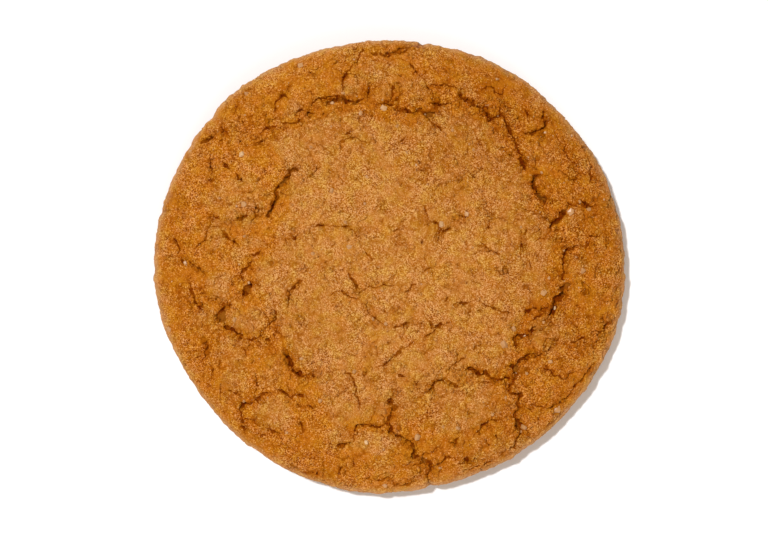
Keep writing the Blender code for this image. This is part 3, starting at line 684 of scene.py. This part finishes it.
def tear_relief(body):
    """Relief of ragged short tears, how deep each place is torn, and how far off the tears are."""
    relief = np.zeros(len(body))
    torn = np.zeros(len(body))
    lines = {}
    for number, (wavelength, depth, step, seed) in enumerate(TEARS, start=1):
        line = noise(body, wavelength, seed)
        line += 0.30 * noise(body, 0.35 * wavelength, seed + 1)
        line += 0.16 * noise(body, 0.45, seed + 2)
        where = patches(body, 0.8 * wavelength, seed + 3, *TEAR_PATCHES)
        width = TEAR_WIDTH / wavelength * SLOPE
        opened = where * (1.0 - smoothstep(0.3 * width, width, np.abs(line)))
        relief += step * (where * np.tanh(line / STEP_SHARPNESS)) - depth * opened
        torn = np.maximum(torn, opened * depth)
        lines[f"tear_{number}"] = distance_off(line, wavelength, where)
    return relief, torn, lines


def valley_share(places):
    share = np.zeros(len(places))
    for points in VALLEYS:
        gap, _, _ = distance_to(np.array(points), places)
        share = np.maximum(share, np.exp(-((gap / VALLEY_HALF_WIDTH) ** 2)))
    return share


def crusted_share(places):
    """1 where the crust is baked to a pale plate, and 0 on the smoother dough between."""
    edge = np.array(PLATE_EDGE + PLATE_EDGE[:1])
    gap, _, _ = distance_to(edge, places)
    inside = np.zeros(len(places), dtype=bool)
    for (x0, y0), (x1, y1) in zip(edge, edge[1:]):
        spans = (places[:, 1] > y0) != (places[:, 1] > y1)
        if y0 != y1:
            inside ^= spans & (places[:, 0] < x0 + (places[:, 1] - y0) * (x1 - x0) / (y1 - y0))
    share = smoothstep(-PLATE_SOFTNESS, PLATE_SOFTNESS, np.where(inside, gap, -gap))
    for x, y, half_width, half_height, pale in PLATES:
        reach = np.hypot((places[:, 0] - x) / half_width, (places[:, 1] - y) / half_height)
        share = np.maximum(share, pale * (1.0 - smoothstep(0.8, 1.25, reach)))
    return share


# Painted light and shade near the rim, among other darker and paler patches
def darker_or_paler_share(places):
    total = np.zeros(len(places))
    for x, y, reach, share in DARKER_OR_PALER:
        total += share * np.exp(-((places[:, 0] - x) ** 2 + (places[:, 1] - y) ** 2) / reach**2)
    return total


def strayed(body, wander):
    """The places on the crust, seen from above, each moved a little by noise."""
    places = body[:, :2].copy()
    for wavelength, size, seed in wander:
        places[:, 0] += size * noise(body, wavelength, seed)
        places[:, 1] += size * noise(body, wavelength, seed + 1)
    return places


def shape_body(sphere):
    """Moves a unit sphere's vertices to the crust, and says what each place looks like."""
    body, normal = smooth_biscuit(sphere)
    level = body[:, 2]
    out = np.hypot(body[:, 0], body[:, 1]) / RADIUS
    side = smoothstep(*SIDE_LEVELS, level)
    crust = smoothstep(*CRUST_LEVELS, level)
    rim = 1.0 - smoothstep(*RIM_LEVELS, level)

    ragged = np.minimum(np.exp(layered(body, RAGGEDNESS)), MOST_RAGGED)
    cracks, marks, lines = crack_relief(strayed(body, WANDER), ragged, patches(body, *BROKEN))
    valley = valley_share(body[:, :2])
    crusted = crusted_share(strayed(body, PLATE_WANDER))
    swell = layered(body, SWELL)

    # Fine relief is stronger beside the cracks, and calmer at the rim
    wavelength, size, seeds = BEND
    bent = body + size * np.stack([noise(body, wavelength, seed) for seed in seeds], axis=1)
    fine, creased, creases = pillow_relief(body, bent)
    fine += layered(body, GRAIN)
    beside_cracks = 0.8 + 1.2 * np.clip(2.0 * marks["slumped"], 0.0, 1.0)
    fine *= beside_cracks * (1.0 - 0.2 * smoothstep(*CALM_RIM, out))
    torn_relief, torn, tears = tear_relief(body)
    fine += torn_relief + rim * layered(body, RIM_CRUMBLE)
    pits = patches(bent, *PITS)

    wavelength, size, seed = FLOOR_GRAIN
    cracks += size * marks["floor"] * noise(body, wavelength, seed)
    marks["floor"] *= patches(body, *FLOOR_PATCHES)
    # The border of a plate is broken up too
    marks["crumbled"] = np.maximum(marks["crumbled"], 2.4 * crusted * (1.0 - crusted))

    relief = crust * (cracks - VALLEY_DEPTH * valley + PLATE_RISE * crusted)
    relief += side * swell + (0.6 * side + 0.4 * crust) * (fine - PIT_DEPTH * pits)
    relief -= (1.0 - side) * PORE_DEPTH * patches(bent, *PORES)
    marks |= {"valley": valley, "crusted": crusted, "creased": creased}
    marks = {name: crust * values for name, values in marks.items()}
    marks |= lines | creases | tears
    marks |= {
        "height": swell + fine + crust * (0.6 * cracks - 0.25 * valley),
        "pit": pits,
        "torn": torn,
        "darker_or_paler": darker_or_paler_share(body[:, :2]),
    }
    return body + normal * relief[:, None], marks


def get_points(mesh):
    points = np.empty(len(mesh.vertices) * 3)
    mesh.vertices.foreach_get("co", points)
    return points.reshape(-1, 3)


def set_points(mesh, points):
    mesh.vertices.foreach_set("co", points.ravel())
    mesh.update()


def add_values(mesh, name, values):
    """Gives each vertex of the mesh a number that the material reads by its name."""
    mesh.attributes.new(name, "FLOAT", "POINT").data.foreach_set("value", values)


def fit_to_solid(points):
    """Stretches the crust by a hair, so that it fills the solid's box and stays in it."""
    low, high = (np.array(corner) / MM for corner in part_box("biscuit"))
    low, high = low + [SLACK_BESIDE, SLACK_BESIDE, 0.0], high - [SLACK_BESIDE, SLACK_BESIDE, SLACK_ABOVE]
    was_low, was_high = points.min(0), points.max(0)
    return low + (points - was_low) * (high - low) / (was_high - was_low)


def make_crust():
    bpy.ops.mesh.primitive_ico_sphere_add(subdivisions=SPHERE_LEVELS, radius=1.0)
    crust = bpy.context.object
    crust.name = "crust"
    mesh = crust.data
    points, marks = shape_body(get_points(mesh))
    set_points(mesh, points)
    for name, values in marks.items():
        add_values(mesh, name, values)

    fewer = crust.modifiers.new("Decimate", "DECIMATE")
    fewer.ratio = CRUST_TRIANGLES / len(mesh.polygons)
    bpy.ops.object.modifier_apply(modifier=fewer.name)

    points = get_points(mesh)
    points[points[:, 2] < SEATING, 2] = 0.0
    set_points(mesh, fit_to_solid(points) * MM)
    mesh.shade_smooth()
    return crust


def add_node(tree, kind, inputs=None, **settings):
    made = tree.nodes.new(kind)
    for name, value in settings.items():
        setattr(made, name, value)
    for name, value in (inputs or {}).items():
        if isinstance(value, bpy.types.NodeSocket):
            tree.links.new(value, made.inputs[name])
        else:
            made.inputs[name].default_value = value
    return made


def attribute(tree, name):
    return add_node(tree, "ShaderNodeAttribute", attribute_name=name).outputs["Fac"]


def mix(tree, factor, first, second, blend="MIX"):
    """Mixes two colours. Its sockets go by number, because several share a name."""
    first, second = ((*value, 1.0) if isinstance(value, tuple) else value for value in (first, second))
    inputs = {0: factor, 6: first, 7: second}
    return add_node(tree, "ShaderNodeMix", inputs, data_type="RGBA", blend_type=blend).outputs[2]


def maths(tree, operation, *values, clamp=False):
    inputs = dict(enumerate(values))
    return add_node(tree, "ShaderNodeMath", inputs, operation=operation, use_clamp=clamp).outputs[0]


def between(tree, value, low, high):
    """0 up to low, 1 from high, smooth in between."""
    inputs = {"Value": value, "From Min": low, "From Max": high}
    return add_node(tree, "ShaderNodeMapRange", inputs, interpolation_type="SMOOTHSTEP").outputs[0]


def texture_noise(tree, place, wavelength, detail, roughness=0.5):
    inputs = {"Vector": place, "Scale": 1.0 / wavelength, "Detail": detail, "Roughness": roughness}
    return add_node(tree, "ShaderNodeTexNoise", inputs).outputs


def cells(tree, place, size, wavelength, bend, detail, feature="F1"):
    """A pattern of cells, drawn at places that noise has moved, so that it is less regular."""
    turns = texture_noise(tree, place, wavelength, 1.0)["Color"]
    inputs = {0: turns, 1: (bend, bend, bend), 2: place}
    moved = add_node(tree, "ShaderNodeVectorMath", inputs, operation="MULTIPLY_ADD").outputs[0]
    inputs = {"Vector": moved, "Scale": 1.0 / size, "Detail": detail, "Roughness": 0.5}
    return add_node(tree, "ShaderNodeTexVoronoi", inputs, feature=feature).outputs


def place_in_mm(tree):
    inputs = {0: add_node(tree, "ShaderNodeTexCoord").outputs["Object"], "Scale": 1.0 / MM}
    return add_node(tree, "ShaderNodeVectorMath", inputs, operation="SCALE").outputs[0]


def new_material(name, roughness, specular):
    material = bpy.data.materials.new(name)
    material.use_nodes = True
    shader = material.node_tree.nodes["Principled BSDF"]
    shader.inputs["Roughness"].default_value = roughness
    shader.inputs["Specular IOR Level"].default_value = specular
    return material, material.node_tree, shader


def tone_ramp(tree, tone, column):
    ramp = add_node(tree, "ShaderNodeValToRGB", {"Fac": tone})
    elements = ramp.color_ramp.elements
    for row in TONES[2:]:
        elements.new(row[0])
    for element, row in zip(elements, TONES):
        element.position = row[0]
        element.color = (*row[column], 1.0)
    return ramp.outputs["Color"]


def drawn_lines(tree, place):
    """The cracks, tears and creases as dark lines of painted shade, with edges as ragged as the grains."""
    shaken = texture_noise(tree, place, *NOISES["line_edge"])["Fac"]
    shaken = maths(tree, "MULTIPLY_ADD", shaken, LINE_SHAKE, -0.5 * LINE_SHAKE)

    def off_line(name, shift):
        return maths(tree, "ABSOLUTE", maths(tree, "ADD", attribute(tree, name), shift))

    beyond = maths(tree, "SUBTRACT", off_line("crack_offset", shaken), attribute(tree, "crack_half_width"))
    near = between(tree, attribute(tree, "crack_gap"), *RANGES["near_crack"])
    crack = maths(tree, "MULTIPLY", between(tree, beyond, *RANGES["crack"]), near)

    # Tears and creases are finer lines, with half as ragged edges
    halved = maths(tree, "MULTIPLY", shaken, 0.5)
    slits = [
        between(tree, off_line(name, halved), half_width + 0.04, half_width - 0.03)
        for name, half_width in LINE_HALF_WIDTHS.items()
    ]
    return crack, maths(tree, "MAXIMUM", *slits[:2]), maths(tree, "MAXIMUM", *slits[2:])


def crust_material():
    material, tree, shader = new_material("baked_crust", roughness=0.8, specular=0.015)
    place = place_in_mm(tree)
    level = add_node(tree, "ShaderNodeSeparateXYZ", {0: place}).outputs["Z"]
    flat = add_node(tree, "ShaderNodeVectorMath", {0: place, 1: (1.0, 1.0, 0.0)}, operation="MULTIPLY")
    length = add_node(tree, "ShaderNodeVectorMath", {0: flat.outputs[0]}, operation="LENGTH")
    radius = length.outputs["Value"]

    def ranged(name, value):
        return between(tree, value, *RANGES[name])

    def noisy(name):
        return texture_noise(tree, place, *NOISES[name])["Fac"]

    def times(first, second):
        return maths(tree, "MULTIPLY", first, second)

    def times_plus(value, factor, addend):
        return maths(tree, "MULTIPLY_ADD", value, factor, addend)

    # Each grain of sugar or dough has its own tone, and where lumps of dough meet, fine dark lines of
    # painted shade are drawn
    grains = cells(tree, place, *GRAIN_CELLS)
    grain = add_node(tree, "ShaderNodeSeparateColor", {0: grains["Color"]}).outputs[0]
    lumps = cells(tree, place, *LUMP_CELLS)
    borders = cells(tree, place, *SEAM_CELLS, feature="DISTANCE_TO_EDGE")["Distance"]
    crumbled = times(times_plus(attribute(tree, "crumbled"), 0.85, 0.15), ranged("patchy", noisy("patchy")))
    # Painted shade in the seams between the crumbled lumps beside the cracks and at the plates' borders
    seam = times(ranged("seam", borders), crumbled)
    crack, tear, crease = drawn_lines(tree, place)

    # The grains show less inside a dark line of painted shade
    dark = maths(tree, "MAXIMUM", maths(tree, "MAXIMUM", crack, tear), maths(tree, "MAXIMUM", crease, seam))
    calm = times_plus(dark, -CALM_SHARE, 1.0)
    rough = times(times_plus(noisy("rough"), *GRAIN_CONTRAST), calm)

    # Painted shade: the cracks, tears, creases, seams and pits, and the sunk, torn and creased places; low
    # places and slumped dough beside the cracks are darker partly as painted shade, partly in their own
    # colour
    looks = {"crack": crack, "tear": tear, "crease": crease, "seam": seam, "patch": noisy("patch")}
    looks |= {name: attribute(tree, name) for name in ("crusted", "darker_or_paler", "creased", "pit")}
    looks |= {name: ranged(name, attribute(tree, name)) for name in ("height", "slumped", "torn", "sunk")}
    looks |= {
        "middle": ranged("middle", radius),
        "outer_ring": ranged("outer_ring", radius),
        # Painted sheen and bounce light from the floor: the edge is paler, and the outermost band paler
        # still, where it is also less browned
        "edge": ranged("edge", level),
        "outermost": times(ranged("outermost", level), ranged("foot", level)),
        "lump_line": ranged("lump_line", lumps["Distance"]),
        "grain": times(maths(tree, "SUBTRACT", grain, 0.5), rough),
        "glint": times(ranged("glint", grain), calm),
    }
    tone = BASE_TONE
    for name, share in TONE_SHARES.items():
        tone = times_plus(looks[name], share, tone)

    # Plates take the plates' colours, and so does the edge, as painted sheen and bounce light from the
    # floor; the dough round the cracks keeps its own
    pale = times_plus(looks["edge"], EDGE_PALENESS, times_plus(noisy("pale"), *PALENESS))
    pale = times_plus(looks["slumped"], -EDGE_PALENESS, pale)
    pale = maths(tree, "ADD", pale, looks["crusted"], clamp=True)
    hue = noisy("hue")
    colour = mix(tree, pale, tone_ramp(tree, tone, DOUGH), tone_ramp(tree, tone, PLATE))
    colour = mix(tree, ranged("yellower", hue), colour, YELLOWER, "MULTIPLY")
    colour = mix(tree, ranged("rosier", hue), colour, ROSIER, "MULTIPLY")
    colour = mix(tree, attribute(tree, "floor"), colour, CRACK_FLOOR)
    colour = mix(tree, times(looks["outermost"], 0.4), colour, PALE_SIDE_AND_SHEEN)
    colour = mix(tree, ranged("underside", level), colour, UNDERSIDE)
    tree.links.new(colour, shader.inputs["Base Color"])

    rounded = times(ranged("rounded", borders), crumbled)
    heights = (grains["Distance"], noisy("grit"), lumps["Distance"], rounded)
    normal = None
    for height, (size, hollow) in zip(heights, BUMPS):
        inputs = {"Height": height, "Strength": 1.0, "Distance": size * MM}
        if normal is not None:
            inputs["Normal"] = normal
        normal = add_node(tree, "ShaderNodeBump", inputs, invert=hollow).outputs[0]
    tree.links.new(normal, shader.inputs["Normal"])
    return material


def sugar_material(name):
    dull, bright, roughness = SUGARS[name]
    material, tree, shader = new_material(name, roughness, specular=0.3)
    haze = texture_noise(tree, place_in_mm(tree), *NOISES["haze"])["Fac"]
    colour = mix(tree, maths(tree, "POWER", attribute(tree, "tint"), 2.6), dull, bright)
    colour = mix(tree, maths(tree, "MULTIPLY", between(tree, haze, *RANGES["haze"]), 0.5), colour, dull)
    tree.links.new(colour, shader.inputs["Base Color"])
    return material


def template(subdivisions=None):
    """Points and triangles of an ico sphere, or of an octahedron."""
    if subdivisions is None:
        points = np.vstack([np.eye(3), -np.eye(3)])
        faces = [(0, 1, 2), (1, 3, 2), (3, 4, 2), (4, 0, 2), (1, 0, 5), (3, 1, 5), (4, 3, 5), (0, 4, 5)]
        return points, np.array(faces)
    bpy.ops.mesh.primitive_ico_sphere_add(subdivisions=subdivisions, radius=1.0)
    ball = bpy.context.object
    points = get_points(ball.data)
    faces = np.array([tuple(face.vertices) for face in ball.data.polygons])
    bpy.data.objects.remove(ball)
    return points, faces


def turned(random, points, count):
    """That many copies of the points, each turned its own way, evenly spread."""
    first = random.normal(size=(count, 3))
    first /= np.linalg.norm(first, axis=1, keepdims=True)
    second = np.cross(first, random.normal(size=(count, 3)))
    second /= np.linalg.norm(second, axis=1, keepdims=True)
    turns = np.stack([first, second, np.cross(first, second)], axis=1)
    return np.einsum("pk,ckl->cpl", points, turns)


def grown(random, points, sizes, stretch, dents):
    """Turned copies of the points, one for each size, each stretched and dented a little."""
    count = len(sizes)
    shapes = turned(random, points, count)
    shapes *= sizes[:, None, None] * (1.0 - stretch + 2.0 * stretch * random.random((count, 1, 3)))
    return shapes * (1.0 + dents * random.normal(size=(count, len(points), 1)))


def add_object(name, data):
    made = bpy.data.objects.new(name, data)
    bpy.context.scene.collection.objects.link(made)
    return made


def make_scatter(name, shapes, faces, places, tints):
    """One mesh of many small closed things. shapes holds the points of each, about its place."""
    count, corners = shapes.shape[:2]
    points = (shapes + places[:, None]).reshape(-1, 3) * MM
    triangles = (faces[None] + corners * np.arange(count)[:, None, None]).reshape(-1, 3)
    mesh = bpy.data.meshes.new(name)
    mesh.from_pydata(points.tolist(), [], triangles.tolist())
    add_values(mesh, "tint", np.repeat(tints, corners))
    return add_object(name, mesh)


def inside_box(shapes, places):
    """Which of the things stay in the solid's box."""
    low, high = (np.array(corner) / MM for corner in CAD_BOUNDS)
    points = shapes + places[:, None]
    return np.all((points > low) & (points < high), axis=(1, 2))


def surface_samples(crust, random, count, weight):
    """Random places on the crust, their normals and triangles. weight says how wanted each is."""
    mesh = crust.data
    points = get_points(mesh) / MM
    corners = np.empty(len(mesh.polygons) * 3, dtype=np.int64)
    mesh.polygons.foreach_get("vertices", corners)
    corners = corners.reshape(-1, 3)
    a, b, c = (points[corners[:, k]] for k in range(3))
    normals = np.cross(b - a, c - a)
    areas = np.linalg.norm(normals, axis=1)
    wanted = areas * weight((a + b + c) / 3.0, corners)
    chosen = random.choice(len(areas), size=count, p=wanted / wanted.sum())
    u, v = np.sqrt(random.random((count, 1))), random.random((count, 1))
    places = (1 - u) * a[chosen] + u * (1 - v) * b[chosen] + u * v * c[chosen]
    return places, normals[chosen] / areas[chosen, None], corners[chosen]


def triangle_values(crust, name, corners):
    """The crust's number of that name, for each triangle."""
    values = np.empty(len(crust.data.vertices))
    crust.data.attributes[name].data.foreach_get("value", values)
    return values[corners].mean(1)


def make_crumbs(crust, name, seed, count, subdivisions, least, most, near_share):
    """Crumbs baked onto the crust, most of them near the cracks, with the crust's own look."""
    random = np.random.default_rng(seed)

    def weight(middle, corners):
        slumped = np.clip(triangle_values(crust, "slumped", corners), 0.0, 0.3)
        near = triangle_values(crust, "valley", corners) + 4.0 * slumped
        open_crack = smoothstep(0.15, 0.3, triangle_values(crust, "sunk", corners))
        on_top = middle[:, 2] > LOWEST_CRUMB
        return on_top * (1.0 - near_share + near_share * near) * (1.0 - 0.9 * open_crack)

    points, faces = template(subdivisions)
    places, normals, corners = surface_samples(crust, random, count, weight)
    sizes = least + (most - least) * random.random(count) ** 2.5
    shapes = grown(random, points, sizes, CRUMB_STRETCH, CRUMB_DENTS)
    places = places - normals * sizes[:, None] * CRUMB_DEPTH
    kept = inside_box(shapes, places)
    crumbs = make_scatter(name, shapes[kept], faces, places[kept], random.random(kept.sum()))
    for mark in [layer.name for layer in crust.data.attributes if layer.data_type == "FLOAT"]:
        values = triangle_values(crust, mark, corners)[kept]
        add_values(crumbs.data, mark, np.repeat(values, len(points)))
    crumbs.data.shade_smooth()
    return crumbs


def make_fine_sugar(crust):
    """Fine sugar baked into the crust, as small sharp grains."""
    random = np.random.default_rng(102)

    def weight(middle, corners):
        clear = 1.0 - smoothstep(0.05, 0.2, triangle_values(crust, "sunk", corners))
        crusted = triangle_values(crust, "crusted", corners)
        return (middle[:, 2] > LOWEST_SUGAR) * clear * (0.5 + 0.8 * crusted)

    points, faces = template()
    places, normals, _ = surface_samples(crust, random, FINE_SUGAR_COUNT, weight)
    least, spread = FINE_SUGAR_SIZE
    sizes = least + spread * random.random(FINE_SUGAR_COUNT) ** 2
    shapes = turned(random, points, FINE_SUGAR_COUNT) * sizes[:, None, None]
    places = places - normals * sizes[:, None] * FINE_SUGAR_DEPTH
    kept = inside_box(shapes, places)
    return make_scatter("fine_sugar", shapes[kept], faces, places[kept], random.random(kept.sum()))


def make_crystals(crust):
    """Coarse sugar crystals: those that show one by one, and a few more of their kind."""
    random = np.random.default_rng(103)
    angle = 2.0 * math.pi * random.random(MORE_CRYSTALS)
    reach = MORE_CRYSTALS_REACH * np.sqrt(random.random(MORE_CRYSTALS))
    sizes = 0.2 + 0.3 * random.random(MORE_CRYSTALS) ** 2
    white = 0.1 + 0.4 * random.random(MORE_CRYSTALS)
    more = np.stack([reach * np.cos(angle), reach * np.sin(angle), sizes, white], axis=1)
    crystals = np.vstack([CRYSTALS, more])
    sizes = crystals[:, 2]

    points = [tuple(point) for point in get_points(crust.data)]
    tree = BVHTree.FromPolygons(points, [tuple(face.vertices) for face in crust.data.polygons])
    places = []
    for x, y, size, _ in crystals:
        hit, _, _, _ = tree.ray_cast(Vector((x * MM, y * MM, 1.0)), Vector((0.0, 0.0, -1.0)))
        places.append(np.array(hit) / MM - (0.0, 0.0, CRYSTAL_DEPTH * size))
    places = np.array(places)

    ball, faces = template(1)
    block = np.sign(ball) * np.abs(ball) ** CRYSTAL_ROUNDNESS * CRYSTAL_SIDES
    shapes = grown(random, block, CRYSTAL_REACH * sizes, CRYSTAL_STRETCH, CRYSTAL_DENTS)
    kept = inside_box(shapes, places)
    return make_scatter("sugar_crystals", shapes[kept], faces, places[kept], crystals[kept, 3])


def wear(piece, material):
    piece.data.materials.clear()
    piece.data.materials.append(material)
    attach(piece, "root")


def make_floor():
    bpy.ops.mesh.primitive_plane_add(size=FLOOR_SIZE * MM)
    floor = bpy.context.object
    floor.name = "floor"
    material, tree, shader = new_material("white_floor", roughness=0.9, specular=0.0)
    paper = texture_noise(tree, place_in_mm(tree), *NOISES["paper"])["Fac"]
    tree.links.new(mix(tree, paper, *PAPER_TONES), shader.inputs["Base Color"])
    floor.data.materials.append(material)


def make_light():
    world = bpy.data.worlds.new("studio")
    world.use_nodes = True
    background = world.node_tree.nodes["Background"]
    background.inputs["Color"].default_value = (*SOFT_COLOUR, 1.0)
    background.inputs["Strength"].default_value = SKY_STRENGTH
    bpy.context.scene.world = world
    for name, (turn, rise, strength, width, colour) in SUNS.items():
        sun = bpy.data.lights.new(name, "SUN")
        sun.energy = strength
        sun.color = colour
        sun.angle = math.radians(width)
        turn, rise = math.radians(turn), math.radians(rise)
        towards = Vector((math.cos(rise) * math.cos(turn), math.cos(rise) * math.sin(turn), math.sin(rise)))
        lamp = add_object(name, sun)
        lamp.rotation_euler = towards.to_track_quat("Z", "Y").to_euler()
        lamp.location = 0.5 * towards


def make_camera():
    camera = bpy.data.cameras.new("camera")
    camera.lens = CAMERA_LENS
    camera.sensor_width = 36.0
    camera.clip_start = 0.01
    camera.clip_end = 10.0
    holder = add_object("camera", camera)
    holder.location = Vector(CAMERA_PLACE) * MM
    bpy.context.scene.camera = holder


def main():
    bpy.context.scene.view_settings.view_transform = "Standard"
    make_camera()
    make_light()
    make_floor()
    crust = make_crust()
    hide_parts("biscuit")
    baked = crust_material()
    wear(crust, baked)
    for row in CRUMBS:
        wear(make_crumbs(crust, *row), baked)
    wear(make_fine_sugar(crust), sugar_material("fine_sugar"))
    wear(make_crystals(crust), sugar_material("sugar"))


main()
